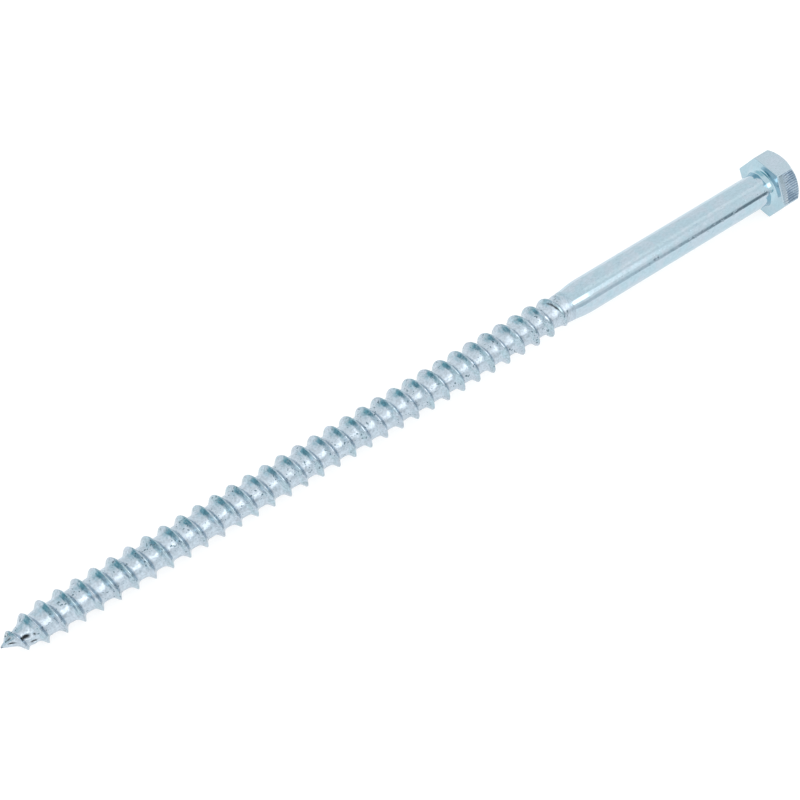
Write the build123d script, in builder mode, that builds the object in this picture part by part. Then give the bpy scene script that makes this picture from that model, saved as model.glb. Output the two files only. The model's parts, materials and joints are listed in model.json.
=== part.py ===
from build123d import *
from math import asin, cos, floor, radians, sin, sqrt, tan
import os

# Hexagon head lag screw: one forged and thread-rolled piece of steel, 8 mm by 200 mm.
#
# The screw is drawn upright, with its axis on Z, the head's bearing face at height zero and the
# point straight below. At the end it is laid down as it rests on a bench: the point towards -X,
# one flat of the head underneath, and the axis sloping a little down to the crest that touches.
# The origin stays at the centre of the bearing face. All sizes are in millimetres.

# Overall
LENGTH = 200.0                 # from the bearing face to the tip of the point

# Head
ACROSS_FLATS = 13.0
HEAD_HEIGHT = 5.5
TOP_CIRCLE_RADIUS = 5.7        # flat circle inside the domed chamfer
FLAT_HEIGHT = 5.12             # height of the chamfer over the middle of a flat
CORNER_HEIGHT = 4.1            # height of the chamfer over a corner
UNDER_HEAD_FILLET = 1.35

# Plain shank and the neck where the rolled thread begins
SHANK_RADIUS = 4.0
SHANK_LENGTH = 55.4
NECK_RADIUS = 3.42
NECK_TOP = 58.6                # distances below the bearing face
NECK_BOTTOM = 59.6
NECK_BLEND = 6.0               # radius of the soft edge between shank and neck
ROOT_TOP = 63.2

# Thread: a tooth that leans a little back from the point, with a wide root between its turns,
# carried along the helix in short straight steps
PITCH = 4.085
CREST_RADIUS = 4.25
ROOT_RADIUS = 2.9
FRONT_FLANK_ANGLE = 36.0       # of the side towards the point, from square to the axis
BACK_FLANK_ANGLE = 29.0        # of the side towards the head
TOOTH_SINK = 0.3               # how far the tooth reaches into the core that it grows from
STEPS_PER_TURN = 18
CREST_ON_TOP = 58.14           # distance below the bearing face of a crest on the +X side
RUN_OUT_STEPS = 3              # from that crest, the tooth starts this far down the helix ...
FULL_STEPS = 27                # ... has its full height from here ...
POINT_STEPS = 576              # ... to here, where the point begins ...
LAST_STEPS = 622               # ... and ends here, close to the tip
RUN_OUT_COVER = 0.1            # how far under the neck's surface the first crest lies

# Gimlet point, measured up from the tip
TIP_RADIUS = 0.12
POINT_HALF_ANGLE = 23.0
CONE_LENGTH = 3.5
OGIVE_CONES = 3                # short cones that make up the curve from the point to the root
TOOTH_SHARP = 2.3              # the tooth has grown to its point height here
TOOTH_POINT_HEIGHT = 1.05

EDGE_REACH = 0.1               # how far from a stated height an edge may lie and still be found

# Worked out
step_drop = PITCH / STEPS_PER_TURN
thread_height = CREST_RADIUS - ROOT_RADIUS
run_out_height = NECK_RADIUS - RUN_OUT_COVER - ROOT_RADIUS
cone_end_radius = TIP_RADIUS + CONE_LENGTH * tan(radians(POINT_HALF_ANGLE))
ogive_radius = (ROOT_RADIUS - cone_end_radius) / (1 - cos(radians(POINT_HALF_ANGLE)))
ogive_end = CONE_LENGTH + ogive_radius * sin(radians(POINT_HALF_ANGLE))
tooth_full = LENGTH - CREST_ON_TOP - POINT_STEPS * step_drop
tooth_start = LENGTH - CREST_ON_TOP - LAST_STEPS * step_drop


def point_radius(above_tip):
    """Radius of the bare core: a cone at the tip, then an ogive that runs into the root."""
    if above_tip <= CONE_LENGTH:
        return TIP_RADIUS + above_tip * tan(radians(POINT_HALF_ANGLE))
    if above_tip >= ogive_end:
        return ROOT_RADIUS
    return ROOT_RADIUS - ogive_radius + sqrt(ogive_radius**2 - (ogive_end - above_tip) ** 2)


def tooth_height(steps):
    """Height of the tooth over the core, this many steps down the helix."""
    if steps < FULL_STEPS:
        grown = (steps - RUN_OUT_STEPS) / (FULL_STEPS - RUN_OUT_STEPS)
        return run_out_height + (thread_height - run_out_height) * grown
    above_tip = LENGTH - CREST_ON_TOP - steps * step_drop
    if above_tip < TOOTH_SHARP:
        return TOOTH_POINT_HEIGHT * (above_tip - tooth_start) / (TOOTH_SHARP - tooth_start)
    grown = min(1, (above_tip - TOOTH_SHARP) / (tooth_full - TOOTH_SHARP))
    return TOOTH_POINT_HEIGHT + (thread_height - TOOTH_POINT_HEIGHT) * grown


def tooth_section(steps):
    """The tooth's triangle, in the plane that holds the axis and the crest."""
    z = -CREST_ON_TOP - steps * step_drop
    turned = -radians(360 / STEPS_PER_TURN) * steps
    outward = (cos(turned), sin(turned), 0)
    core_radius = point_radius(LENGTH + z)
    height = tooth_height(steps)
    section_plane = Plane(
        origin=(core_radius * cos(turned), core_radius * sin(turned), z),
        x_dir=outward,
        z_dir=(sin(turned), -cos(turned), 0),
    )
    sink = min(TOOTH_SINK, core_radius / 2)
    front_foot = (height + sink) * tan(radians(FRONT_FLANK_ANGLE))
    back_foot = (height + sink) * tan(radians(BACK_FLANK_ANGLE))
    with BuildSketch(section_plane) as section:
        with BuildLine():
            Polyline((-sink, -front_foot), (height, 0), (-sink, back_foot), close=True)
        make_face()
    return section.sketch


# Head: a hexagonal prism whose outer rim is turned to a shallow dome
with BuildPart() as head:
    with BuildSketch():
        RegularPolygon(radius=ACROSS_FLATS / 2, side_count=6, major_radius=False, rotation=30)
    extrude(amount=HEAD_HEIGHT)
    corner_radius = ACROSS_FLATS / sqrt(3)
    with BuildSketch(Plane.XZ):
        with BuildLine():
            dome = ThreePointArc(
                (corner_radius, CORNER_HEIGHT),
                (ACROSS_FLATS / 2, FLAT_HEIGHT),
                (TOP_CIRCLE_RADIUS, HEAD_HEIGHT),
            )
            Polyline(dome @ 1, (0, HEAD_HEIGHT), (0, 0), (2 * corner_radius, 0), dome @ 0)
        make_face()
    revolve(axis=Axis.Z, mode=Mode.INTERSECT)

# Core: the bare screw without its thread, turned about the axis and joined to the head
ogive_points = []
for cone in range(OGIVE_CONES + 1):
    slope = radians(POINT_HALF_ANGLE * (1 - cone / OGIVE_CONES))
    above_tip = ogive_end - ogive_radius * sin(slope)
    ogive_points.append((point_radius(above_tip), above_tip - LENGTH))

with BuildPart() as core:
    with BuildSketch(Plane.XZ):
        with BuildLine():
            Polyline(
                (0, -LENGTH),
                (TIP_RADIUS, -LENGTH),
                *ogive_points,
                (ROOT_RADIUS, -ROOT_TOP),
                (NECK_RADIUS, -NECK_BOTTOM),
                (NECK_RADIUS, -NECK_TOP),
                (SHANK_RADIUS, -SHANK_LENGTH),
                (SHANK_RADIUS, HEAD_HEIGHT / 2),
                (0, HEAD_HEIGHT / 2),
                close=True,
            )
        make_face()
    revolve(axis=Axis.Z)
    round_edges = core.edges().filter_by(GeomType.CIRCLE)
    shank_end = round_edges.filter_by_position(
        Axis.Z, -SHANK_LENGTH - EDGE_REACH, -SHANK_LENGTH + EDGE_REACH
    )
    fillet(shank_end, radius=NECK_BLEND)
    add(head.part)
    round_edges = core.edges().filter_by(GeomType.CIRCLE)
    under_head = round_edges.filter_by_position(Axis.Z, -EDGE_REACH, EDGE_REACH)
    fillet(under_head, radius=UNDER_HEAD_FILLET)

# Thread: the tooth rises out of the neck, runs down the shank and fades on the gimlet point
with BuildPart() as thread:
    loft(
        sections=[tooth_section(steps) for steps in range(RUN_OUT_STEPS, LAST_STEPS)],
        ruled=True,
    )

with BuildPart() as upright_screw:
    add(core.part)
    add(thread.part)

# Resting slope: from the head's lower flat down to the last full crest underneath
crests_below = floor((POINT_STEPS - STEPS_PER_TURN / 2) / STEPS_PER_TURN)
last_crest = CREST_ON_TOP + PITCH / 2 + crests_below * PITCH
resting_slope = asin((ACROSS_FLATS / 2 - CREST_RADIUS) / last_crest)
lying_plane = Plane(
    origin=(0, 0, 0),
    x_dir=(-sin(resting_slope), 0, cos(resting_slope)),
    z_dir=(cos(resting_slope), 0, sin(resting_slope)),
)

with BuildPart() as lag_screw:
    with Locations(lying_plane):
        add(upright_screw.part)

lag_screw.part.label = "lag_screw"
os.makedirs("parts", exist_ok=True)
export_step(lag_screw.part, "parts/lag_screw.step")
print("axis of the lying screw", tuple(lying_plane.z_dir), "last crest", last_crest)
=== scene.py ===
import json
import logging
import math
from dataclasses import dataclass, field
from enum import Enum, IntEnum

import bpy
import numpy as np
from mathutils import Matrix, Vector, noise


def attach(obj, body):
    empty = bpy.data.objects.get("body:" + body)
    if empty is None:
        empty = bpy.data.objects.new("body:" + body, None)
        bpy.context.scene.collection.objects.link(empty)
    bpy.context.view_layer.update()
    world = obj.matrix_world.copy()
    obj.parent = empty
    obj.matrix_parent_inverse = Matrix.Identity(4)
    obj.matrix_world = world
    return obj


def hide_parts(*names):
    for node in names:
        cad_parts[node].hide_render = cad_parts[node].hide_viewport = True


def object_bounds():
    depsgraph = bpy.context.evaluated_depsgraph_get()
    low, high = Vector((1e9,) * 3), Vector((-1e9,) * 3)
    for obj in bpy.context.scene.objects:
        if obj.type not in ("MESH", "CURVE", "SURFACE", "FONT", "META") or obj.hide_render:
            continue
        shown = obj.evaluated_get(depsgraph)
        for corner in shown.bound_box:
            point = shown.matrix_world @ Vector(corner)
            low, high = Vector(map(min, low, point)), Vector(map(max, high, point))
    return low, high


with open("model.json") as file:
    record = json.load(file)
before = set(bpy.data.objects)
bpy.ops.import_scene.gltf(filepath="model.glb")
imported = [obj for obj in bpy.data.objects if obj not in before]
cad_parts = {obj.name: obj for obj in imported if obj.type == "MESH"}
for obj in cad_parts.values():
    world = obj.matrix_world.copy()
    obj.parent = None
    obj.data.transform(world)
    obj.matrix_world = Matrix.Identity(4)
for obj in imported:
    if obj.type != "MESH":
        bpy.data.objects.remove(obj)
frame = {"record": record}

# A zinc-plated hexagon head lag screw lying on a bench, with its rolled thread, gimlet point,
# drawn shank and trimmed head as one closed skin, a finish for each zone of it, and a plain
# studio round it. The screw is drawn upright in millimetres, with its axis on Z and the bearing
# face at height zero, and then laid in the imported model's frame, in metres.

CAD_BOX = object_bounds()
MM = 0.001                         # one millimetre, in metres

log = logging.getLogger("lag_screw")

DULL_AND_GROOVE_SHADE = "dullness"              # the mesh's own numbers for how dull the plating is, and on the trimmed flats how deep the grooves are, drawn there as painted shade ...
STAINS = "stains"                  # ... and how dark with dirt

Numbers = np.ndarray
Triple = tuple[float, float, float]
Colour = Triple
Socket = bpy.types.NodeSocket
Tree = bpy.types.NodeTree


class Zone(IntEnum):
    """The zones of the skin, each with its own finish. The value is the material's index."""

    POINT = 0
    THREAD = 1
    SHANK = 2
    HEAD = 3
    TRIMMED_FLAT = 4
    SEAT = 5
    NECK = 6


# ---------------------------------------------------------------------------------------------
# Shape
# ---------------------------------------------------------------------------------------------


def smooth_step(value: Numbers | float) -> Numbers:
    """Eased 0 to 1 as value goes from 0 to 1."""
    clipped = np.clip(value, 0.0, 1.0)
    return clipped * clipped * (3.0 - 2.0 * clipped)


def ring_angles(count: int) -> Numbers:
    """Angles of a ring's places in radians, from the upper side towards -Y."""
    return -2 * math.pi * np.arange(count) / count


def ring_points(radius: Numbers, angle: Numbers, height: Numbers | float) -> Numbers:
    """Places from radius, angle in radians and height, as rows of x, y and z."""
    level = np.broadcast_to(height, np.shape(radius))
    return np.stack([radius * np.cos(angle), radius * np.sin(angle), level], axis=-1)


@dataclass(frozen=True)
class Lumps:
    """Smooth noise over the surface, which gives dents, waves and grain."""

    size: float                      # about how far apart its lumps lie, in millimetres
    shift: float                     # moves the pattern, so that no two are alike

    def at(self, places: Numbers) -> Numbers:
        """One number from about -1 to 1 for each row of places."""
        return np.array([noise.noise(Vector(place)) for place in places / self.size + self.shift])


@dataclass
class Skin:
    """The closed surface as it is put together: vertices in millimetres, faces and their zones."""

    vertices: list[Numbers] = field(default_factory=list)
    dullness: list[Numbers] = field(default_factory=list)
    stains: list[Numbers] = field(default_factory=list)
    faces: list[tuple[int, ...]] = field(default_factory=list)
    zones: list[Zone] = field(default_factory=list)
    count: int = 0

    def add_vertices(
        self, places: Numbers, dull: Numbers | float = 0.0, stained: Numbers | float = 0.0
    ) -> Numbers:
        """Adds vertices.

        Args:
            places: their places in millimetres, one row each.
            dull: how dull the plating is at each, from 0 to 1, and on a trimmed flat how deep the
                groove lies there, which is drawn as painted shade.
            stained: how dark with dirt it is at each, from 0 to 1.

        Returns:
            The indices of the new vertices.
        """
        self.vertices.append(places)
        self.dullness.append(np.broadcast_to(dull, len(places)))
        self.stains.append(np.broadcast_to(stained, len(places)))
        first = self.count
        self.count += len(places)
        return np.arange(first, self.count)

    def add_face(self, corners: tuple[int, ...], zone: Zone) -> None:
        """Adds one face, leaving out corners that fall together.

        Args:
            corners: indices of its corners, clockwise as seen from outside.
            zone: the face's zone.
        """
        kept = tuple(dict.fromkeys(int(corner) for corner in corners))
        if len(kept) > 2:
            self.faces.append(kept[::-1])
            self.zones.append(zone)

    def bridge(self, lower: Numbers, upper: Numbers, zones: list[Zone]) -> None:
        """Joins two rings of one direction round, where upper has a whole multiple of lower's places.

        Args:
            lower: indices of the ring that lies nearer the point, or inside.
            upper: indices of the next ring.
            zones: the zone of the new faces after each place of the lower ring.
        """
        many = len(upper) // len(lower)
        middle = many // 2
        for here, zone in enumerate(zones):
            there = (here + 1) % len(lower)
            if many == 1:
                self.add_face((lower[here], lower[there], upper[there], upper[here]), zone)
                continue
            for part in range(many):
                outer = here * many + part
                following = (outer + 1) % len(upper)
                foot = here if part < middle else there
                self.add_face((lower[foot], upper[following], upper[outer]), zone)
                if part == middle:
                    self.add_face((lower[here], lower[there], upper[outer]), zone)

    def add_ring(
        self,
        before: Numbers,
        radius: Numbers,
        height: Numbers | float,
        zone: Zone | list[Zone],
        dull: Numbers | float = 0.0,
    ) -> Numbers:
        """Adds a ring of vertices and joins it to the ring before it.

        Args:
            before: indices of the ring before it.
            radius: distance of each place from the axis.
            height: height of each place, or of all of them.
            zone: the zone of the faces between the rings, or a list with one for each place.
            dull: how dull the plating is at each place, from 0 to 1, and on a trimmed flat how deep the
                groove lies there, which is drawn as painted shade.

        Returns:
            The indices of the new ring.
        """
        ring = self.add_vertices(ring_points(radius, ring_angles(len(radius)), height), dull)
        self.bridge(before, ring, [zone] * len(before) if isinstance(zone, Zone) else zone)
        return ring

    def cap(self, ring: Numbers, height: float, zone: Zone, facing_up: bool) -> None:
        """Closes a ring with a fan round a middle point on the axis.

        Args:
            ring: indices of the ring.
            height: height of the middle point.
            zone: the fan's zone.
            facing_up: whether the outside is above.
        """
        middle = self.add_vertices(np.array([[0.0, 0.0, height]]))[0]
        for here, there in zip(ring, np.roll(ring, -1)):
            edge = (here, there) if facing_up else (there, here)
            self.add_face((*edge, middle), zone)


@dataclass(frozen=True)
class Blemish:
    """A pit, slot or lump on the skin, with its size in millimetres."""

    height: float
    degrees: float                   # round the axis, from the upper side towards +Y
    long: float                      # half its length ...
    wide: float                      # ... and half its width
    lean: float                      # degrees that its length leans from the axis
    rise: float                      # how far it stands up, or sinks where negative
    stain: float = 0.0               # how dark it is with dirt

    def share(self, places: Numbers, radius: Numbers) -> Numbers:
        """How much each place of the skin belongs to it.

        Args:
            places: places on the skin, one row each.
            radius: their distances from the axis.

        Returns:
            The share at each place, from 0 far away to 1 in its middle.
        """
        turned = np.arctan2(places[:, 1], places[:, 0]) - math.radians(self.degrees)
        around = radius * (np.mod(turned + math.pi, 2 * math.pi) - math.pi)
        along = places[:, 2] - self.height
        lean = math.radians(self.lean)
        first = (along * math.cos(lean) + around * math.sin(lean)) / self.long
        second = (around * math.cos(lean) - along * math.sin(lean)) / self.wide
        return np.exp(-((first**2 + second**2) ** 1.5))


# The fold in the point where the thread was rolled badly, the slots and the ridge on the cone,
# and the burr and the folded-over groove where the thread begins
BLEMISHES = (
    Blemish(height=-194.5, degrees=97, long=1.1, wide=1.7, lean=15, rise=0.42),
    Blemish(height=-195.2, degrees=50, long=0.75, wide=0.36, lean=4, rise=-0.4, stain=1.0),
    Blemish(height=-194.2, degrees=84, long=0.62, wide=0.17, lean=0, rise=-0.3, stain=1.0),
    Blemish(height=-195.9, degrees=84, long=0.3, wide=0.9, lean=10, rise=0.15),
    Blemish(height=-193.6, degrees=55, long=0.2, wide=0.25, lean=0, rise=-0.1, stain=0.9),
    Blemish(height=-197.9, degrees=53, long=0.7, wide=0.15, lean=13, rise=-0.2, stain=0.9),
    Blemish(height=-198.3, degrees=33, long=1.3, wide=0.2, lean=-6, rise=0.16),
    Blemish(height=-198.1, degrees=2, long=0.5, wide=0.16, lean=19, rise=-0.14, stain=0.6),
    Blemish(height=-200.0, degrees=0, long=0.4, wide=3.0, lean=0, rise=0.0, stain=0.2),
    Blemish(height=-60.0, degrees=-15, long=0.35, wide=2.6, lean=-8, rise=0.2),
    Blemish(height=-62.65, degrees=10, long=0.12, wide=1.7, lean=-16, rise=-0.08, stain=1.0),
)


@dataclass(frozen=True)
class RolledSurface:
    """What the rolls leave uneven: wavy crests, lumpy roots, dents and grain, in millimetres."""

    waves: Lumps = Lumps(3.0, 0.0)
    dents: Lumps = Lumps(0.8, 11.0)
    lumps: Lumps = Lumps(1.1, 23.0)
    grain: Lumps = Lumps(0.5, 5.0)
    dent_level: float = 0.15         # of its noise, above which there is a dent
    wave_depth: float = 0.03
    lump_depth: float = 0.03
    crest_dent: float = 0.14
    root_dent: float = 0.08
    crest_grain: float = 0.02
    root_grain: float = 0.035
    smooth_radius: float = 0.8       # the narrow end of the point is even
    grown_radius: float = 2.0        # from here it is fully uneven ...
    grown_length: float = 2.5        # ... and from here below the neck's top

    def depth(self, places: Numbers, radius: Numbers, crest: Numbers, below_neck: Numbers) -> Numbers:
        """How far each place lies under the ideal skin.

        Args:
            places: places on the skin, one row each.
            radius: their distances from the axis.
            crest: how much each belongs to a crest, from 0 in the root to 1.
            below_neck: how far each lies below the neck's top.

        Returns:
            The depth at each place, in millimetres.
        """
        waves = self.waves.at(places) * 0.5 + 0.5
        dents = np.clip(self.dents.at(places) - self.dent_level, 0, 1)
        lumps = self.lumps.at(places)
        grain = self.grain.at(places)
        on_crest = self.wave_depth * waves + self.crest_dent * dents + self.crest_grain * grain
        in_root = self.root_dent * dents + self.root_grain * grain + self.lump_depth * lumps
        thick = smooth_step((radius - self.smooth_radius) / (self.grown_radius - self.smooth_radius))
        rolled = thick * smooth_step(below_neck / self.grown_length)
        return (crest * on_crest + (1 - crest) * in_root) * rolled


@dataclass
class ThreadedLength:
    """The gimlet point, the rolled thread and the neck, on a grid that winds with the thread."""

    length: float
    shank_radius: float
    surface: RolledSurface = RolledSurface()
    # Thread
    pitch: float = 4.085
    crest_radius: float = 4.25
    root_radius: float = 2.9
    front_flank: float = 34.5        # of the side towards the point, from square to the axis
    back_flank: float = 27.5
    crest_rounding: float = 0.14
    front_rounding: float = 0.5      # of the root, on the side of the tooth towards the point
    back_rounding: float = 0.35
    least_peak: float = 0.1          # a place's share of the tooth is reckoned from no less
    valley_fill: float = 0.5         # share of the lower tooth that is added where two meet
    # Neck, in distances below the bearing face
    shank_end: float = 54.8
    shank_overlap: float = 0.4       # length of the shank that is on this grid
    neck_top: float = 58.6
    neck_bottom: float = 59.6
    root_top: float = 63.2
    neck_radius: float = 3.42
    ringed: float = 2.2              # length below its top that the rolls only mark with rings
    first_crest: float = 58.14       # on the upper side
    run_out_start: float = 58.8
    run_out_full: float = 64.3
    run_out_cover: float = 0.1       # how far under the neck's surface the first crest lies
    blunt_rounding: float = 0.3      # of the first crests ...
    blunt_from: float = 62.0         # ... which get sharper from here ...
    blunt_to: float = 78.0           # ... to here
    neck_softness: float = 1.6       # how far either way the core's corners are rounded off here, ...
    root_top_softness: float = 0.9   # ... at the root's top ...
    softness: float = 0.2            # ... and everywhere ...
    softness_from: float = 4.0       # ... beyond this much further down
    softness_samples: int = 11
    # Point, in distances above the tip
    tip_radius: float = 0.12
    point_half_angle: float = 23.0
    cone_length: float = 3.5
    tooth_start: float = 0.6
    tooth_sharp: float = 2.3
    tooth_point_height: float = 1.05
    tooth_full: float = 11.1
    foot_climb: float = 0.3          # how far the tooth's foot may lie outside the core there
    # Wear and plating
    dull_reach: float = 0.55         # share of the tooth's height over which the root's dullness fades
    dull_start: float = 2.0          # length below the neck's top over which it comes in
    stain_strength: float = 1.5
    least_radius: float = 0.05       # that a dent or blemish leaves
    # Grid
    steps_per_turn: int = 84
    columns: int = 22
    crest_spacing: float = 0.55      # of the columns at the crest, as a share of the even spacing
    end_margin: float = 0.04         # between the grid and the ring at either end

    @property
    def top(self) -> float:
        """Height at which the grid ends and the shank's rings begin."""
        return self.shank_overlap - self.shank_end

    def core_radius(self, height: Numbers) -> Numbers:
        """Radius of the bare core: a cone at the tip, an ogive, the root, the neck and the shank.

        Args:
            height: heights above the bearing face, all of them negative.

        Returns:
            The radius at each height.
        """
        above_tip = height + self.length
        slope = math.radians(self.point_half_angle)
        cone_end = self.tip_radius + self.cone_length * math.tan(slope)
        ogive = (self.root_radius - cone_end) / (1 - math.cos(slope))
        ogive_end = self.cone_length + ogive * math.sin(slope)
        short = np.clip(ogive_end - above_tip, 0, ogive * math.sin(slope))
        curved = self.root_radius - ogive + np.sqrt(ogive**2 - short**2)
        cone = self.tip_radius + np.clip(above_tip, 0, None) * math.tan(slope)
        point = np.where(above_tip < self.cone_length, cone, curved)
        neck = np.interp(
            -height,
            [self.shank_end, self.neck_top, self.neck_bottom, self.root_top],
            [self.shank_radius, self.neck_radius, self.neck_radius, self.root_radius],
        )
        return np.where(-height < self.root_top, neck, point)

    def smoothed_core(self, height: Numbers) -> Numbers:
        """The core's radius with the corners of its outline rounded off.

        Args:
            height: heights above the bearing face.

        Returns:
            The radius at each height.
        """
        reach = np.interp(
            -height,
            [self.neck_top, self.root_top, self.root_top + self.softness_from],
            [self.neck_softness, self.root_top_softness, self.softness],
        )
        offsets = np.linspace(-1, 1, self.softness_samples)
        return np.mean([self.core_radius(height + reach * offset) for offset in offsets], axis=0)

    def tooth_height(self, below: Numbers) -> Numbers:
        """Height of the tooth over the core.

        Args:
            below: how far below the bearing face its crest lies.

        Returns:
            The height at each place, which is 0 where the thread hasn't begun.
        """
        full = self.crest_radius - self.root_radius
        faded = self.neck_radius - self.root_radius - self.run_out_cover
        run_out = np.interp(below, [self.run_out_start, self.run_out_full], [faded, full])
        point = np.interp(
            self.length - below,
            [self.tooth_start, self.tooth_sharp, self.tooth_full],
            [0.0, self.tooth_point_height, full],
        )
        return np.where(below < self.run_out_start, 0.0, np.minimum(run_out, point))

    def flank_rise(self, height: Numbers, offset: Numbers, crest_height: Numbers) -> Numbers:
        """Rise of one turn of the tooth over the core.

        Args:
            height: heights of the places.
            offset: how far each place lies above that turn's crest along the axis.
            crest_height: height at which the crest lies at the same angle.

        Returns:
            The rise at each place, which fades to nothing away from the tooth.
        """
        below = -crest_height
        core = self.smoothed_core(height)
        climbing = np.minimum(self.smoothed_core(crest_height), core + self.foot_climb)
        foot = np.where(below < self.root_top + self.pitch, self.root_radius, climbing)
        tooth = self.tooth_height(below)
        flank_angle = np.where(offset < 0, self.front_flank, self.back_flank)
        slope = 1.0 / np.tan(np.radians(flank_angle))
        blunt = np.interp(
            below, [self.blunt_from, self.blunt_to], [self.blunt_rounding, self.crest_rounding]
        )
        away = np.sqrt(offset**2 + blunt**2) - blunt
        peak = foot + tooth - core
        flank = peak - away * slope
        rounding = np.where(offset < 0, self.front_rounding, self.back_rounding) * np.clip(tooth, 0, 1)
        lifted = 0.5 * (flank + np.sqrt(flank**2 + rounding**2))
        excess = 0.5 * (peak + np.sqrt(peak**2 + rounding**2)) - np.maximum(peak, 0)
        share = np.clip(lifted / np.maximum(peak, self.least_peak), 0, 1)
        return np.where(tooth > 0, lifted - excess * share, 0.0)

    def radius(self, height: Numbers, offset: Numbers, crest_height: Numbers) -> Numbers:
        """Radius of the threaded skin, from the turn at hand and the turns beside it.

        Args:
            height: heights of the places.
            offset: how far each place lies above the crest at hand along the axis.
            crest_height: height at which that crest lies at the same angle.

        Returns:
            The radius at each place.
        """
        rise = self.flank_rise(height, offset, crest_height)
        for step in (-self.pitch, self.pitch):
            beside = self.flank_rise(height, offset - step, crest_height + step)
            rise = np.maximum(rise, beside) + self.valley_fill * np.minimum(rise, beside)
        return np.minimum(self.smoothed_core(height) + rise, self.crest_radius)

    def build(self, skin: Skin) -> tuple[Numbers, Numbers]:
        """Adds the threaded length to the skin.

        Args:
            skin: the skin to add to.

        Returns:
            The indices of the ring at the tip, and of the ring where the shank begins.
        """
        top, bottom, steps = self.top, -self.length, self.steps_per_turn
        even = np.linspace(-1, 1, self.columns, endpoint=False)
        spacing = self.crest_spacing + (1 - self.crest_spacing) * np.abs(even)
        first = -math.ceil((top + self.first_crest + self.pitch) / self.pitch * steps) - steps
        last = math.ceil((self.length - self.first_crest + self.pitch) / self.pitch * steps) + steps
        index = np.arange(first, last + 1)[:, None]
        offset, angle, crest = np.broadcast_arrays(
            self.pitch / 2 * even * spacing,
            -2 * math.pi * index / steps,
            -self.first_crest - self.pitch * index / steps,
        )
        height = crest + offset
        radius = self.radius(height, offset, crest)
        inside = (height > bottom + self.end_margin) & (height < top - self.end_margin)
        around = ring_angles(steps)
        tip_ring = skin.add_vertices(ring_points(np.full(steps, self.tip_radius), around, bottom))
        top_radius = self.smoothed_core(np.full(steps, top))
        top_ring = skin.add_vertices(ring_points(top_radius, around, top))
        slot = np.mod(index, steps)
        grid = np.where(height < (top + bottom) / 2, tip_ring[slot], top_ring[slot])
        grid[inside] = self.add_places(skin, radius[inside], angle[inside], height[inside])
        for row in range(len(index) - 1):
            for column in range(self.columns):
                if column + 1 < self.columns:
                    near, far = grid[row, column + 1], grid[row + 1, column + 1]
                elif row >= steps:
                    near, far = grid[row - steps, 0], grid[row + 1 - steps, 0]
                else:
                    continue
                zone = self.zone(height[row, column])
                skin.add_face((grid[row, column], grid[row + 1, column], far, near), zone)
        return tip_ring, top_ring

    def add_places(self, skin: Skin, radius: Numbers, angle: Numbers, height: Numbers) -> Numbers:
        """Adds the grid's vertices, with their unevenness, blemishes, dullness and stains.

        Args:
            skin: the skin to add to.
            radius: distances from the axis, before anything is uneven.
            angle: angles round it, in radians.
            height: heights above the bearing face.

        Returns:
            The indices of the new vertices.
        """
        places = ring_points(radius, angle, height)
        full = self.crest_radius - self.root_radius
        crest = smooth_step((radius - self.root_radius) / full)
        depth = self.surface.depth(places, radius, crest, -height - self.neck_top)
        shares = [blemish.share(places, radius) for blemish in BLEMISHES]
        rise = sum(blemish.rise * share for blemish, share in zip(BLEMISHES, shares))
        stain = sum(blemish.stain * share for blemish, share in zip(BLEMISHES, shares))
        scale = np.maximum(radius - depth + rise, self.least_radius) / radius
        places = places * np.stack([scale, scale, np.ones_like(scale)], axis=-1)
        root = 1 - smooth_step((radius - self.smoothed_core(height)) / (self.dull_reach * full))
        dull = root * smooth_step((-height - self.neck_top) / self.dull_start)
        return skin.add_vertices(places, dull, np.clip(self.stain_strength * stain, 0, 1))

    def zone(self, height: float) -> Zone:
        """The finish of a face.

        Args:
            height: its height above the bearing face.

        Returns:
            The zone that it belongs to.
        """
        if height < -self.length + self.tooth_sharp:
            return Zone.POINT
        if height > -self.neck_top:
            return Zone.SHANK
        if height > -self.neck_top - self.ringed:
            return Zone.NECK
        return Zone.THREAD


@dataclass
class Shank:
    """The plain drawn shank and the fillet that joins it to the head."""

    radius: float
    bottom: float
    fillet: float = 1.35             # its length along the shank
    tightening: float = 0.55         # its radius at the head, as a share of that at the shank
    rows: int = 64
    fillet_rows: int = 12
    dents: Lumps = Lumps(2.2, 31.0)
    dent_level: float = 0.25         # of its noise, above which there is a dent
    dent_depth: float = 0.03
    waves: Lumps = Lumps(1.4, 7.0)
    wave_depth: float = 0.004
    wave_stretch: float = 0.25       # of the waves, which run along the shank
    even_length: float = 2.0         # by the fillet, where the dents and waves fade away

    def build(self, skin: Skin, start: Numbers) -> Numbers:
        """Adds the shank.

        Args:
            skin: the skin to add to.
            start: indices of the ring that ends the threaded length.

        Returns:
            The indices of the ring where the fillet meets the bearing face.
        """
        even = np.full(len(start), self.radius)
        ring = start
        for height in np.linspace(self.bottom, -self.fillet, self.rows)[1:]:
            places = ring_points(even, ring_angles(len(start)), height)
            dented = np.clip(self.dents.at(places) - self.dent_level, 0, 1)
            wavy = self.waves.at(places * np.array([1, 1, self.wave_stretch]))
            faded = float(smooth_step((-height - self.fillet) / self.even_length))
            depth = faded * (self.dent_depth * dented + self.wave_depth * (wavy + 1))
            ring = skin.add_ring(ring, self.radius - depth, height, Zone.SHANK)
        for radius, height in self.fillet_outline():
            ring = skin.add_ring(ring, np.full(len(start), radius), height, Zone.SEAT)
        return ring

    def fillet_outline(self) -> list[tuple[float, float]]:
        """The fillet's outline, which gets tighter towards the head.

        Returns:
            The radius and height of each ring.
        """
        quarter = math.pi / 2
        lost = (1 - self.tightening) / quarter
        wide = self.fillet / (1 - lost * (quarter - 1))
        outline = []
        for turned in np.linspace(0, quarter, self.fillet_rows)[1:]:
            out = (1 - math.cos(turned)) - lost * (math.sin(turned) - turned * math.cos(turned))
            up = math.sin(turned) - lost * (turned * math.sin(turned) + math.cos(turned) - 1)
            outline.append((self.radius + wide * out, wide * up - self.fillet))
        return outline


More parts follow.
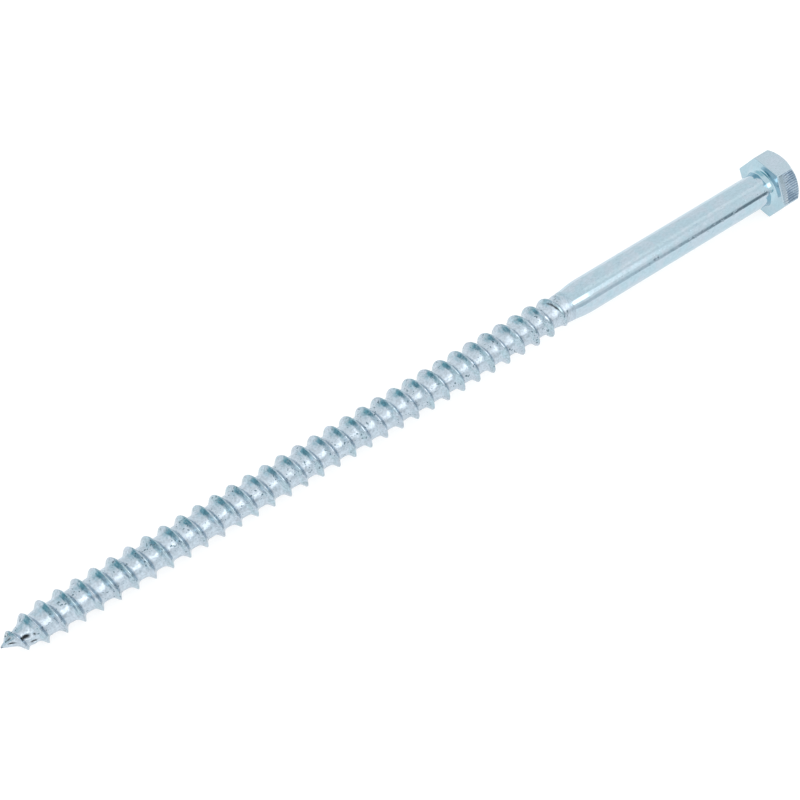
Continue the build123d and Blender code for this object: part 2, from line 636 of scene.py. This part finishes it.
@dataclass(frozen=True)
class TrimMarks:
    """The grooves that a trimming die leaves up a flat, in millimetres and shares of its height."""

    pitch: float = 0.58
    depth: float = 0.12
    drift: Lumps = Lumps(1.5, 3.0)
    drift_reach: float = 0.12        # how far the grooves wander
    strength: Lumps = Lumps(0.9, 17.0)
    strengths: tuple[float, float] = (0.8, 0.4)  # the usual share of the depth, and how it varies
    least_strength: float = 0.4
    begin: Lumps = Lumps(0.5, 9.0)
    begin_reach: float = 0.1         # share of the height by which the grooves' beginnings vary
    start: float = 0.3               # share of the height below which the flat is smooth, where ...
    lead: float = 0.16               # ... the marks start, and how much lower on the far edge
    fading: float = 0.12             # share of the height over which they come in
    edge_margin: float = 0.1         # they are gone this far from the corner ...
    edge_fading: float = 0.25        # ... and whole this much further in
    spread: tuple[float, float] = (3.0, 0.7)  # of the noise, from flat to flat and up a flat

    def depth_at(self, across: Numbers, half: float, side: Numbers, share: float) -> Numbers:
        """Depth of the marks, if every flat were trimmed.

        Args:
            across: how far each place lies from the middle of its flat.
            half: half the flat's width.
            side: number of each place's flat.
            share: how far up the flat the places lie, from 0 to 1.

        Returns:
            The depth at each place, in millimetres.
        """
        up = np.full(len(across), share * self.spread[1])
        spot = np.stack([across, side * self.spread[0], up], axis=-1)
        strength = self.strengths[0] + self.strengths[1] * self.strength.at(spot)
        wandered = across + self.drift_reach * self.drift.at(spot)
        lines = np.cos(2 * math.pi * wandered / self.pitch)
        start = self.start - self.lead * across / half
        start = start + self.begin_reach * self.begin.at(spot * np.array([1, 1, 0]))
        ends = smooth_step((half - self.edge_margin - np.abs(across)) / self.edge_fading)
        shown = smooth_step((share - start) / self.fading) * ends
        return shown * self.depth * np.clip(strength, self.least_strength, 1) * (0.5 - 0.5 * lines)


@dataclass
class Head:
    """The hexagon: forged with a domed rim, with its flats sheared to size by a trimming die."""

    across_flats: float = 13.0
    height: float = 5.5
    top_circle: float = 5.7
    corner_height: float = 4.1
    flat_height: float = 5.12
    corner_rounding: float = 0.05
    per_side: int = 84
    marks: TrimMarks = TrimMarks()
    trimmed_sides: tuple[int, ...] = (1, 4)
    rolled_edge: float = 0.34        # radius of the edge under a trimmed side
    crisp_edge: float = 0.1
    seat_rows: tuple[float, ...] = (0.3, 0.7, 0.97, 1.0)  # shares of the way where rings lie ...
    edge_rows: int = 5
    side_rows: tuple[float, ...] = (0.02, 0.15, *np.linspace(0.24, 0.98, 11), 1.0)
    rim_rows: tuple[float, ...] = (0.0, 0.08, 0.3, 0.55, 0.8, 0.97, 1.0)
    top_rows: tuple[float, ...] = (0.97, 0.5)  # ... and of the top circle's radius
    edge_blend: int = 4              # places either way over which one edge runs into the other
    rim_drop: float = 0.06           # the side ends this far under the dome ...
    rim_inset: float = 0.05          # ... which begins this far inside the side
    groove_rim: float = 0.2          # share of the dome over which the grooves run out

    @property
    def corner_radius(self) -> float:
        """Distance of the corners from the axis."""
        return self.across_flats / math.sqrt(3)

    def off_middle(self, angle: Numbers) -> Numbers:
        """Angle of each place from the middle of its flat."""
        sector = math.pi / 3
        return np.mod(angle + sector / 2, sector) - sector / 2

    def side_number(self, angle: Numbers) -> Numbers:
        """Number of the flat at each angle, 0 for the upper one, counted towards +Y."""
        return np.mod(np.round(angle / (math.pi / 3)), 6).astype(int)

    def side_radius(self, angle: Numbers) -> Numbers:
        """Outline of the hexagon, with slightly rounded corners.

        Args:
            angle: angles round the head.

        Returns:
            The distance from the axis at each angle.
        """
        sharp = self.across_flats / 2 / np.cos(np.abs(self.off_middle(angle)))
        over = sharp - (self.corner_radius - self.corner_rounding)
        soft = self.corner_rounding / 2
        near_corner = over > -4 * soft
        return sharp - 0.5 * (over + np.sqrt(over**2 + soft**2)) * near_corner

    def dome_height(self, radius: Numbers) -> Numbers:
        """Height of the domed rim, on a curve through three heights.

        Args:
            radius: distances from the axis.

        Returns:
            The height at each of them.
        """
        known = np.array([self.top_circle, self.across_flats / 2, self.corner_radius])
        heights = np.array([self.height, self.flat_height, self.corner_height])
        return np.polyval(np.polyfit(known, heights, 2), radius)

    def grooves(self, angle: Numbers, share: float) -> Numbers:
        """Depth of the trimming die's marks, on the trimmed sides only.

        Args:
            angle: angles round the head.
            share: how far up the side the places lie, from 0 to 1.

        Returns:
            The depth at each place, in millimetres.
        """
        across = self.across_flats / 2 * np.tan(self.off_middle(angle))
        side = self.side_number(angle)
        depth = self.marks.depth_at(across, self.corner_radius / 2, side, share)
        return np.isin(side, self.trimmed_sides) * depth

    def lower_edge(self, side: Numbers) -> Numbers:
        """Radius of the edge under each place of the side.

        Args:
            side: number of each place's flat.

        Returns:
            The radius at each place, blended from side to side.
        """
        edge = np.where(np.isin(side, self.trimmed_sides), self.rolled_edge, self.crisp_edge)
        many = self.edge_blend
        window = 2 * many + 1
        joined = np.concatenate([edge[-many:], edge, edge[:many]])
        return np.convolve(joined, np.ones(window) / window, "valid")

    def build(self, skin: Skin, start: Numbers, fillet_edge: float) -> None:
        """Adds the head.

        Args:
            skin: the skin to add to.
            start: indices of the ring where the fillet meets the bearing face.
            fillet_edge: that ring's radius.
        """
        count = 6 * self.per_side
        angle = ring_angles(count)
        outline = self.side_radius(angle)
        sides = self.side_number(angle)
        edge = self.lower_edge(sides)
        inner = outline - edge
        ring = start
        # Bearing face
        for share in self.seat_rows:
            ring = skin.add_ring(ring, fillet_edge + (inner - fillet_edge) * share, 0.0, Zone.SEAT)
        # Lower edge
        for turned in np.linspace(0, math.pi / 2, self.edge_rows)[1:]:
            height = edge * (1 - math.cos(turned))
            ring = skin.add_ring(ring, inner + edge * math.sin(turned), height, Zone.HEAD)
        # Sides
        top = self.dome_height(outline) - self.rim_drop
        for share in self.side_rows:
            depth = self.grooves(angle, share)
            marked = self.trimmed_sides if share > self.marks.start else ()
            zones = [Zone.TRIMMED_FLAT if side in marked else Zone.HEAD for side in sides]
            height = edge + (top - edge) * share
            # The grooves' depth share goes in as the dullness, so that the trimmed flats' dark dull
            # tint paints shade in the groove bottoms
            ring = skin.add_ring(ring, outline - depth, height, zones, depth / self.marks.depth)
        # Domed rim, in which the grooves run out
        rim = outline - self.rim_inset
        for share in self.rim_rows:
            radius = rim + (self.top_circle - rim) * share
            radius = radius - depth * (1 - min(1.0, share / self.groove_rim))
            height = np.minimum(self.dome_height(radius), self.height)
            ring = skin.add_ring(ring, radius, height, Zone.HEAD)
        # Top
        for share in self.top_rows:
            ring = skin.add_ring(ring, np.full(count, self.top_circle * share), self.height, Zone.HEAD)
        skin.cap(ring, self.height, Zone.HEAD, facing_up=True)


# ---------------------------------------------------------------------------------------------
# Finishes
# ---------------------------------------------------------------------------------------------


class Kind(Enum):
    """What a node group's socket or a mixing node carries."""

    NUMBER = "NodeSocketFloat"
    VECTOR = "NodeSocketVector"
    COLOUR = "NodeSocketColor"


@dataclass(frozen=True)
class Graph:
    """Adds nodes to a tree. An input gets another node's output, which is linked, or a value."""

    tree: Tree

    def feed(self, node: bpy.types.Node, inputs: dict[str | int, object]) -> None:
        """Links or sets a node's inputs.

        Args:
            node: the node.
            inputs: what each input gets, by its name or number.
        """
        for key, value in inputs.items():
            if isinstance(value, Socket):
                self.tree.links.new(value, node.inputs[key])
            else:
                node.inputs[key].default_value = value

    def add(self, kind: str, inputs: dict[str | int, object]) -> bpy.types.Node:
        """Adds a node.

        Args:
            kind: its type, without the "ShaderNode" before it.
            inputs: what each input gets, by its name or number.

        Returns:
            The node.
        """
        node = self.tree.nodes.new("ShaderNode" + kind)
        self.feed(node, inputs)
        return node

    def attribute(self, name: str) -> Socket:
        """Reads one of the mesh's own numbers.

        Args:
            name: the attribute's name.

        Returns:
            The socket with the number.
        """
        node = self.add("Attribute", {})
        node.attribute_name = name
        return node.outputs["Fac"]

    def group(self, shared: Tree, values: dict[str, object]) -> bpy.types.NodeOutputs:
        """Adds a node for a shared group.

        Args:
            shared: the group.
            values: what its inputs get, by name. It takes those that it needs.

        Returns:
            The node's outputs.
        """
        node = self.add("Group", {})
        node.node_tree = shared
        self.feed(node, {socket.name: values[socket.name] for socket in node.inputs})
        return node.outputs

    def maths(self, operation: str, *inputs: Socket | float) -> Socket:
        """Adds a maths node.

        Args:
            operation: what it does.
            inputs: what its inputs get, in order.

        Returns:
            The socket with the result.
        """
        node = self.add("Math", {})
        node.operation = operation
        self.feed(node, dict(enumerate(inputs)))
        return node.outputs[0]

    def vectors(self, operation: str, first: Socket, second: Socket | Vector) -> Socket:
        """Adds a vector maths node.

        Args:
            operation: what it does.
            first: the first vector.
            second: the second vector, or a number to scale the first by.

        Returns:
            The socket with the result.
        """
        node = self.add("VectorMath", {})
        node.operation = operation
        self.feed(node, {0: first, "Scale" if operation == "SCALE" else 1: second})
        return node.outputs["Value" if operation == "DOT_PRODUCT" else "Vector"]

    def mix(self, kind: Kind, share: Socket, first: object, second: object) -> Socket:
        """Mixes two numbers or two colours.

        Args:
            kind: which of these.
            share: 0 for the first and 1 for the second.
            first: the first of them.
            second: the second of them.

        Returns:
            The socket with the result.
        """
        node = self.add("Mix", {})
        colours = kind is Kind.COLOUR
        node.data_type = "RGBA" if colours else "FLOAT"
        place = 6 if colours else 2
        self.feed(node, {"Factor": share, place: first, place + 1: second})
        return node.outputs[2 if colours else 0]

    def noise(self, vector: Socket, scale: Socket, detail: float) -> Socket:
        """Adds a noise texture at a place, and returns the socket with the noise, from 0 to 1."""
        inputs = {"Vector": vector, "Scale": scale, "Detail": detail}
        return self.add("TexNoise", inputs).outputs["Fac"]

    def ramp(
        self, value: Socket, low: Socket | float, high: Socket | float, start: float = 0.0
    ) -> Socket:
        """Adds a smooth step.

        Args:
            value: what it follows.
            low: the value where it starts.
            high: the value from which it is 1.
            start: what it is up to the low value.

        Returns:
            The socket with the step.
        """
        node = self.add("MapRange", {})
        node.interpolation_type = "SMOOTHSTEP"
        self.feed(node, {"Value": value, "From Min": low, "From Max": high, "To Min": start})
        return node.outputs["Result"]


def new_group(
    name: str, inputs: dict[Kind, tuple[str, ...]], outputs: dict[Kind, tuple[str, ...]]
) -> tuple[Graph, bpy.types.NodeOutputs, bpy.types.Node]:
    """Makes an empty shader node group.

    Args:
        name: the group's name.
        inputs: names of its inputs by what they carry.
        outputs: names of its outputs by what they carry.

    Returns:
        Its graph, the sockets of its inputs, and the node that its results go to.
    """
    tree = bpy.data.node_groups.new(name, "ShaderNodeTree")
    for in_out, sockets in (("INPUT", inputs), ("OUTPUT", outputs)):
        for kind, names in sockets.items():
            for socket in names:
                tree.interface.new_socket(name=socket, in_out=in_out, socket_type=kind.value)
    source = tree.nodes.new("NodeGroupInput").outputs
    return Graph(tree), source, tree.nodes.new("NodeGroupOutput")


def speck_group() -> Tree:
    """Small separate specks as a mask: 1 in the middle of one and 0 between them.

    Returns:
        The node group.
    """
    graph, source, result = new_group(
        "specks",
        {Kind.VECTOR: ("Vector", "Stretch"), Kind.NUMBER: ("Scale", "Share", "Cluster")},
        {Kind.NUMBER: ("Mask",)},
    )
    rarest = 0.72                    # level of the noise where a speck begins, for a share of 0 ...
    drop = 0.35                      # ... and how much lower for a share of 1
    edge = 0.1                       # from there to the level of a full speck
    stretched = graph.vectors("MULTIPLY", source["Vector"], source["Stretch"])
    specks = graph.noise(stretched, source["Scale"], detail=1.0)
    begins = graph.maths("SUBTRACT", rarest, graph.maths("MULTIPLY", source["Share"], drop))
    step = graph.ramp(specks, low=begins, high=graph.maths("ADD", begins, edge))
    places = graph.noise(source["Vector"], source["Cluster"], detail=1.0)
    clustered = graph.ramp(places, low=0.46, high=0.58)
    graph.feed(result, {"Mask": graph.maths("MULTIPLY", step, clustered)})
    return graph.tree


def plating_group() -> Tree:
    """The plating's colour and gloss: soft patches of two tints, duller places, painted shade in the
    trimmed flats' groove bottoms, and stained specks.

    Returns:
        The node group.
    """
    states = ("Dullness And Groove Shade", "Specks", "Dirt", "Mottle", "Patch Scale", "Grain Scale")
    tints = ("Tint", "Other Tint", "Dull And Groove Shade Tint", "Stain", "Dirt Tint")
    graph, source, result = new_group(
        "zinc_plating",
        {
            Kind.VECTOR: ("Vector", "Stretch"),
            Kind.NUMBER: (*states, "Bright Roughness", "Dull Roughness"),
            Kind.COLOUR: tints,
        },
        {Kind.COLOUR: ("Color",), Kind.NUMBER: ("Roughness",)},
    )
    patch_dullness = 0.5             # that a patch adds to the mesh's own
    noise = graph.noise(source["Vector"], source["Patch Scale"], detail=3.0)
    patches = graph.ramp(noise, low=0.35, high=0.65)
    uneven = graph.maths("MULTIPLY_ADD", patches, patch_dullness, source["Dullness And Groove Shade"])
    dull = graph.ramp(uneven, low=0.2, high=1.2)
    tint = graph.mix(Kind.COLOUR, patches, source["Tint"], source["Other Tint"])
    dulled_and_shaded = graph.mix(Kind.COLOUR, dull, tint, source["Dull And Groove Shade Tint"])
    stretched = graph.vectors("MULTIPLY", source["Vector"], source["Stretch"])
    noise = graph.noise(stretched, source["Grain Scale"], detail=2.0)
    grain = graph.ramp(noise, low=0.3, high=0.7, start=-1.0)
    level = graph.maths("MULTIPLY_ADD", grain, source["Mottle"], 1.0)
    mottled = graph.vectors("SCALE", dulled_and_shaded, level)
    stained = graph.mix(Kind.COLOUR, source["Specks"], mottled, source["Stain"])
    dirty = graph.mix(Kind.COLOUR, source["Dirt"], stained, source["Dirt Tint"])
    gloss = graph.mix(Kind.NUMBER, dull, source["Bright Roughness"], source["Dull Roughness"])
    graph.feed(result, {"Color": dirty, "Roughness": gloss})
    return graph.tree


def relief_group() -> Tree:
    """The plating's fine relief: an uneven grain with small pits, as a height in millimetres.

    Returns:
        The node group.
    """
    numbers = ("Dullness And Groove Shade", "Specks", "Grain Scale", "Grain Height", "Dull Grain Height", "Speck Height")
    graph, source, result = new_group(
        "zinc_relief",
        {Kind.VECTOR: ("Vector", "Stretch"), Kind.NUMBER: numbers},
        {Kind.NUMBER: ("Height",)},
    )
    stretched = graph.vectors("MULTIPLY", source["Vector"], source["Stretch"])
    grain = graph.noise(stretched, source["Grain Scale"], detail=3.0)
    fine, coarse = source["Grain Height"], source["Dull Grain Height"]
    height = graph.mix(Kind.NUMBER, source["Dullness And Groove Shade"], fine, coarse)
    raised = graph.maths("MULTIPLY", grain, height)
    sunk = graph.maths("MULTIPLY", source["Specks"], source["Speck Height"])
    graph.feed(result, {"Height": graph.maths("SUBTRACT", raised, sunk)})
    return graph.tree


@dataclass(frozen=True)
class Effects:
    """The node groups that all finishes share."""

    specks: Tree
    plating: Tree
    relief: Tree


@dataclass(frozen=True)
class Zinc:
    """A zinc plating over steel, with the blue passivation's change of tint. Sizes in millimetres."""

    name: str
    tint: Colour = (0.41, 0.54, 0.61)
    other_tint: Colour = (0.46, 0.54, 0.62)
    # A lighter tint where the plating is dull; on the trimmed flats a dark one, which is painted shade
    # in the groove bottoms
    dull_and_groove_shade_tint: Colour = (0.54, 0.63, 0.71)
    stain: Colour = (0.10, 0.17, 0.21)
    dirt: Colour = (0.025, 0.03, 0.035)
    patch_size: float = 2.5
    bright_roughness: float = 0.16
    dull_roughness: float = 0.35
    grain_size: float = 0.5
    grain_height: float = 0.02
    dull_grain_height: float = 0.085
    speck_size: float = 0.5
    speck_share: float = 0.35
    speck_height: float = 0.04
    cluster_size: float = 3.0
    mottle: float = 0.14             # share by which the colour varies from grain to grain
    stretch: Triple = (1.0, 1.0, 1.0)  # of the marks, along the screw where the first is small

    def values(self) -> dict[str, object]:
        """What the finish gives to the shared groups.

        Returns:
            The values of their inputs, by name.
        """
        return {
            "Stretch": self.stretch,
            "Tint": (*self.tint, 1),
            "Other Tint": (*self.other_tint, 1),
            "Dull And Groove Shade Tint": (*self.dull_and_groove_shade_tint, 1),
            "Stain": (*self.stain, 1),
            "Dirt Tint": (*self.dirt, 1),
            "Patch Scale": 1 / (self.patch_size * MM),
            "Bright Roughness": self.bright_roughness,
            "Dull Roughness": self.dull_roughness,
            "Grain Scale": 1 / (self.grain_size * MM),
            "Grain Height": self.grain_height,
            "Dull Grain Height": self.dull_grain_height,
            "Scale": 1 / (self.speck_size * MM),
            "Share": self.speck_share,
            "Speck Height": self.speck_height,
            "Cluster": 1 / (self.cluster_size * MM),
            "Mottle": self.mottle,
        }

    def material(self, effects: Effects) -> bpy.types.Material:
        """Makes the material.

        Args:
            effects: the node groups that all finishes share.

        Returns:
            The material.
        """
        made = bpy.data.materials.new(self.name)
        made.use_nodes = True
        graph = Graph(made.node_tree)
        values = self.values()
        values["Vector"] = graph.add("TexCoord", {}).outputs["Object"]
        values["Dullness And Groove Shade"] = graph.attribute(DULL_AND_GROOVE_SHADE)
        values["Dirt"] = graph.attribute(STAINS)
        values["Specks"] = graph.group(effects.specks, values)["Mask"]
        plating = graph.group(effects.plating, values)
        relief = graph.group(effects.relief, values)
        bump = graph.add("Bump", {"Distance": MM, "Height": relief["Height"]})
        inputs = {
            "Metallic": 1.0,
            "Base Color": plating["Color"],
            "Roughness": plating["Roughness"],
            "Normal": bump.outputs["Normal"],
        }
        graph.feed(graph.tree.nodes["Principled BSDF"], inputs)
        return made


FINISHES: dict[Zone, Zinc] = {
    Zone.POINT: Zinc("point_zinc", tint=(0.43, 0.53, 0.58), other_tint=(0.50, 0.54, 0.57)),
    Zone.THREAD: Zinc("rolled_zinc"),
    Zone.NECK: Zinc(
        "neck_zinc",
        tint=(0.40, 0.54, 0.62),
        other_tint=(0.45, 0.55, 0.64),
        bright_roughness=0.3,
        grain_size=0.4,
        grain_height=0.03,
        stretch=(3.0, 0.5, 0.5),
    ),
    Zone.SHANK: Zinc(
        "drawn_zinc",
        tint=(0.45, 0.60, 0.68),
        other_tint=(0.49, 0.60, 0.68),
        bright_roughness=0.08,
        dull_roughness=0.16,
        grain_size=0.45,
        grain_height=0.006,
        mottle=0.04,
        speck_size=0.6,
        speck_share=0.25,
        speck_height=0.02,
        stain=(0.40, 0.53, 0.62),
        stretch=(0.6, 1.0, 1.0),
    ),
    Zone.HEAD: Zinc(
        "forged_zinc",
        tint=(0.49, 0.61, 0.68),
        other_tint=(0.51, 0.61, 0.69),
        grain_size=0.4,
        grain_height=0.004,
        mottle=0.03,
        speck_share=0.1,
        speck_height=0.01,
    ),
    Zone.TRIMMED_FLAT: Zinc(
        "trimmed_zinc",
        tint=(0.45, 0.56, 0.66),
        other_tint=(0.42, 0.54, 0.65),
        # This dark dull tint is painted shade: it darkens the bottoms of the trim grooves
        dull_and_groove_shade_tint=(0.16, 0.24, 0.34),
        bright_roughness=0.24,
        mottle=0.06,
        speck_share=0.1,
    ),
    Zone.SEAT: Zinc(
        "seat_zinc",
        tint=(0.44, 0.61, 0.69),
        other_tint=(0.46, 0.61, 0.69),
        bright_roughness=0.08,
        grain_height=0.003,
        mottle=0.03,
        speck_share=0.0,
    ),
}


# ---------------------------------------------------------------------------------------------
# The screw
# ---------------------------------------------------------------------------------------------


@dataclass
class LagScrew:
    """The whole screw as one closed mesh."""

    name: str = "zinc_plated_lag_screw"
    node: str = "lag_screw"
    length: float = 200.0
    sharp_edge: float = 50.0         # degrees between faces from which an edge is drawn sharp

    def mount(self, name: str) -> dict:
        """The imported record's mount of that name."""
        return next(m for m in frame["record"]["mounts"] if m["name"] == name)

    def lying(self) -> Matrix:
        """Lays the upright screw, in millimetres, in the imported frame, in metres.

        Returns:
            The matrix that does so.
        """
        axis = -Vector(self.mount("bearing_face")["axis"]).normalized()
        up = Vector(self.mount("upper_flat")["axis"]).normalized()
        turned = Matrix((up, axis.cross(up), axis)).transposed().to_4x4()
        origin = Vector(self.mount("bearing_face")["pos_m"])
        return Matrix.Translation(origin) @ turned @ Matrix.Scale(MM, 4)

    def skin(self) -> Skin:
        """Puts the closed surface together, from the point to the head.

        Returns:
            The skin of the upright screw.
        """
        skin = Skin()
        shank_radius = self.mount("shank")["dims"]["r_mm"]
        threaded = ThreadedLength(length=self.length, shank_radius=shank_radius)
        shank = Shank(radius=shank_radius, bottom=threaded.top)
        tip_ring, top_ring = threaded.build(skin)
        skin.cap(tip_ring, -self.length, Zone.POINT, facing_up=False)
        fillet_edge = shank.fillet_outline()[-1][0]
        Head().build(skin, shank.build(skin, top_ring), fillet_edge)
        return skin

    def build(self) -> bpy.types.Object:
        """Makes the mesh and dresses it.

        Returns:
            The screw.
        """
        skin = self.skin()
        matrix = np.array(self.lying())
        places = np.concatenate(skin.vertices) @ matrix[:3, :3].T + matrix[:3, 3]
        mesh = bpy.data.meshes.new(self.name)
        mesh.from_pydata(places.tolist(), [], skin.faces)
        mesh.polygons.foreach_set("material_index", [int(zone) for zone in skin.zones])
        mesh.polygons.foreach_set("use_smooth", [True] * len(mesh.polygons))
        for name, numbers in ((DULL_AND_GROOVE_SHADE, skin.dullness), (STAINS, skin.stains)):
            attribute = mesh.attributes.new(name, "FLOAT", "POINT")
            attribute.data.foreach_set("value", np.concatenate(numbers))
        mesh.set_sharp_from_angle(angle=math.radians(self.sharp_edge))
        effects = Effects(specks=speck_group(), plating=plating_group(), relief=relief_group())
        for zone in Zone:
            mesh.materials.append(FINISHES[zone].material(effects))
        mesh.validate()
        screw = bpy.data.objects.new(self.name, mesh)
        bpy.context.scene.collection.objects.link(screw)
        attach(screw, "root")
        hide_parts(self.node)
        triangles = sum(len(face) - 2 for face in skin.faces)
        log.info("%s: %d triangles", self.name, triangles)
        return screw


# ---------------------------------------------------------------------------------------------
# Studio
# ---------------------------------------------------------------------------------------------


def strip_group() -> Tree:
    """Mask of a strip in the surroundings, from a direction.

    Returns:
        The node group.
    """
    graph, source, result = new_group(
        "studio_strip",
        {
            Kind.VECTOR: ("Direction",),
            Kind.NUMBER: ("Turn", "Full", "Edge", "Begins", "Full From", "Full To", "Ends"),
        },
        {Kind.NUMBER: ("Mask",)},
    )
    parts = graph.add("SeparateXYZ", {0: source["Direction"]}).outputs
    turn = graph.maths("ARCTAN2", graph.maths("MULTIPLY", parts["Y"], -1.0), parts["Z"])
    away = graph.maths("ABSOLUTE", graph.maths("SUBTRACT", turn, source["Turn"]))
    across = graph.ramp(away, low=source["Edge"], high=source["Full"])
    begins = graph.ramp(parts["X"], low=source["Begins"], high=source["Full From"])
    ends = graph.ramp(parts["X"], low=source["Ends"], high=source["Full To"])
    mask = graph.maths("MULTIPLY", across, graph.maths("MULTIPLY", begins, ends))
    graph.feed(result, {"Mask": mask})
    return graph.tree


@dataclass(frozen=True)
class Strip:
    """A long soft light, or dark gap, that runs in line with the screw, seen from its middle."""

    turn: float                      # degrees round the X axis, from straight up towards -Y
    half_width: float                # degrees
    soft: float                      # degrees over which its edge fades
    ends: tuple[float, float, float, float]  # along X: begins, full from, full to, ends
    colour: Colour

    def mask(self, graph: Graph, group: Tree, direction: Socket) -> Socket:
        """Adds its mask to the surroundings.

        Args:
            graph: the surroundings' graph.
            group: the node group that strips share.
            direction: the socket with the direction.

        Returns:
            The socket with the mask.
        """
        values = {
            "Direction": direction,
            "Turn": math.radians(self.turn),
            "Full": math.radians(self.half_width),
            "Edge": math.radians(self.half_width + self.soft),
            "Begins": self.ends[0],
            "Full From": self.ends[1],
            "Full To": self.ends[2],
            "Ends": self.ends[3],
        }
        return graph.group(group, values)["Mask"]


@dataclass(frozen=True)
class Patch:
    """A round soft patch of the surroundings."""

    direction: Triple
    inner: float                     # degrees from its middle to where it begins to fade
    outer: float
    colour: Colour

    def mask(self, graph: Graph, direction: Socket) -> Socket:
        """Adds its mask to the surroundings' graph, and returns the mask's socket."""
        along = graph.vectors("DOT_PRODUCT", direction, Vector(self.direction).normalized())
        return graph.ramp(along, *[math.cos(math.radians(away)) for away in (self.outer, self.inner)])


@dataclass
class Studio:
    """A pale floor, even surroundings with a few soft lights and dark gaps, and the camera."""

    strips: tuple[Strip, ...] = (
        Strip(5, 5, 8, (0.3, 0.4, 0.8, 1.0), (1.14, 1.12, 1.1)),
        Strip(42, 7, 10, (-0.8, -0.6, 0.36, 0.5), (2.35, 2.3, 2.25)),
        Strip(41, 8, 9, (0.52, 0.62, 0.9, 1.0), (1.15, 1.13, 1.12)),
        Strip(41, 7, 10, (0.33, 0.42, 0.47, 0.53), (1.44, 1.41, 1.39)),
        Strip(115, 22, 15, (-1.1, -1.0, -0.78, -0.66), (0.5, 0.66, 0.69)),
        Strip(88, 8, 8, (-0.75, -0.6, 0.25, 0.32), (0.42, 0.6, 0.64)),
        Strip(-52, 18, 20, (-0.7, -0.5, -0.05, 0.2), (0.56, 0.74, 0.78)),
        Strip(79, 5, 8, (-0.3, -0.1, 0.5, 0.6), (0.74, 0.77, 0.8)),
        Strip(79, 5, 11, (0.5, 0.55, 0.57, 0.6), (0.19, 0.24, 0.27)),
        Strip(77, 5, 4, (0.57, 0.6, 2.0, 3.0), (0.01, 0.02, 0.03)),
    )
    patches: tuple[Patch, ...] = (
        Patch((-1.0, 0.0, 0.0), 15, 34, (0.74, 0.86, 0.89)),
        Patch((-0.87, 0.42, 0.24), 9, 24, (0.24, 0.5, 0.56)),
        Patch((-0.91, 0.27, 0.33), 6, 15, (0.17, 0.36, 0.42)),
        Patch((-0.98, 0.03, 0.2), 2, 7, (0.25, 0.4, 0.46)),
    )
    floor_size: float = 6.0          # metres
    floor_albedo: float = 0.35
    floor_glow: float = 0.75
    camera_azimuth: float = -39.013  # degrees
    camera_elevation: float = 50.92
    camera_roll: float = 1.46
    camera_distance: float = 0.442011  # metres
    camera_lens: float = 96.13       # millimetres, as is the sensor's width
    camera_sensor: float = 36.0
    camera_shift: tuple[float, float] = (-0.0003, 0.0001)
    camera_near: float = 0.01
    aim: Triple = (-0.103757, 0.0, 0.000792)

    def build(self) -> None:
        """Makes the floor, the surroundings and the camera."""
        self.make_floor()
        self.make_surroundings()
        self.make_camera()
        bpy.context.scene.view_settings.view_transform = "Standard"

    def make_floor(self) -> None:
        """Makes a plain pale floor that keeps the screw's shadow."""
        half = self.floor_size / 2
        corners = [(-half, -half, 0), (half, -half, 0), (half, half, 0), (-half, half, 0)]
        mesh = bpy.data.meshes.new("floor")
        mesh.from_pydata(corners, [], [(0, 1, 2, 3)])
        floor = bpy.data.objects.new("floor", mesh)
        floor.location = (0, 0, CAD_BOX[0].z)
        bpy.context.scene.collection.objects.link(floor)
        material = bpy.data.materials.new("pale_floor")
        material.use_nodes = True
        graph = Graph(material.node_tree)
        graph.tree.nodes.clear()
        path = graph.add("LightPath", {}).outputs
        seen = graph.maths("MAXIMUM", path["Is Camera Ray"], path["Is Glossy Ray"])
        strength = graph.maths("MULTIPLY", seen, self.floor_glow)
        glow = graph.add("Emission", {"Color": (1, 1, 1, 1), "Strength": strength})
        albedo = self.floor_albedo
        diffuse = graph.add("BsdfDiffuse", {"Color": (albedo, albedo, albedo, 1)})
        both = graph.add("AddShader", {0: diffuse.outputs[0], 1: glow.outputs[0]})
        graph.add("OutputMaterial", {"Surface": both.outputs[0]})
        mesh.materials.append(material)

    def make_surroundings(self) -> None:
        """Makes even light all round, with the strips and patches laid over it in order."""
        world = bpy.data.worlds.new("studio")
        bpy.context.scene.world = world
        world.use_nodes = True
        graph = Graph(world.node_tree)
        direction = graph.add("TexCoord", {}).outputs["Generated"]
        group = strip_group()
        masks = [strip.mask(graph, group, direction) for strip in self.strips]
        masks += [patch.mask(graph, direction) for patch in self.patches]
        colour = (1, 1, 1, 1)
        for piece, mask in zip(self.strips + self.patches, masks):
            colour = graph.mix(Kind.COLOUR, mask, colour, (*piece.colour, 1))
        graph.feed(graph.tree.nodes["Background"], {"Color": colour})

    def make_camera(self) -> None:
        """Makes the camera, looking down on the screw from its point's side."""
        azimuth = math.radians(self.camera_azimuth)
        elevation = math.radians(self.camera_elevation)
        level = math.cos(elevation)
        back = Vector(
            (math.sin(azimuth) * level, -math.cos(azimuth) * level, math.sin(elevation))
        )
        data = bpy.data.cameras.new("camera")
        data.lens = self.camera_lens
        data.sensor_width = self.camera_sensor
        data.shift_x, data.shift_y = self.camera_shift
        data.clip_start = self.camera_near
        camera = bpy.data.objects.new("camera", data)
        place = Matrix.Translation(Vector(self.aim) + back * self.camera_distance)
        turned = (-back).to_track_quat("-Z", "Y").to_matrix().to_4x4()
        roll = Matrix.Rotation(math.radians(self.camera_roll), 4, "Z")
        camera.matrix_world = place @ turned @ roll
        bpy.context.scene.collection.objects.link(camera)
        bpy.context.scene.camera = camera


def main() -> None:
    """Builds the screw and the studio."""
    logging.basicConfig(level=logging.INFO, format="%(name)s %(message)s")
    screw = LagScrew().build()
    log.info("made %s", screw.name)
    Studio().build()
    log.info("made the floor, the surroundings and the camera")


if __name__ == "__main__":
    main()
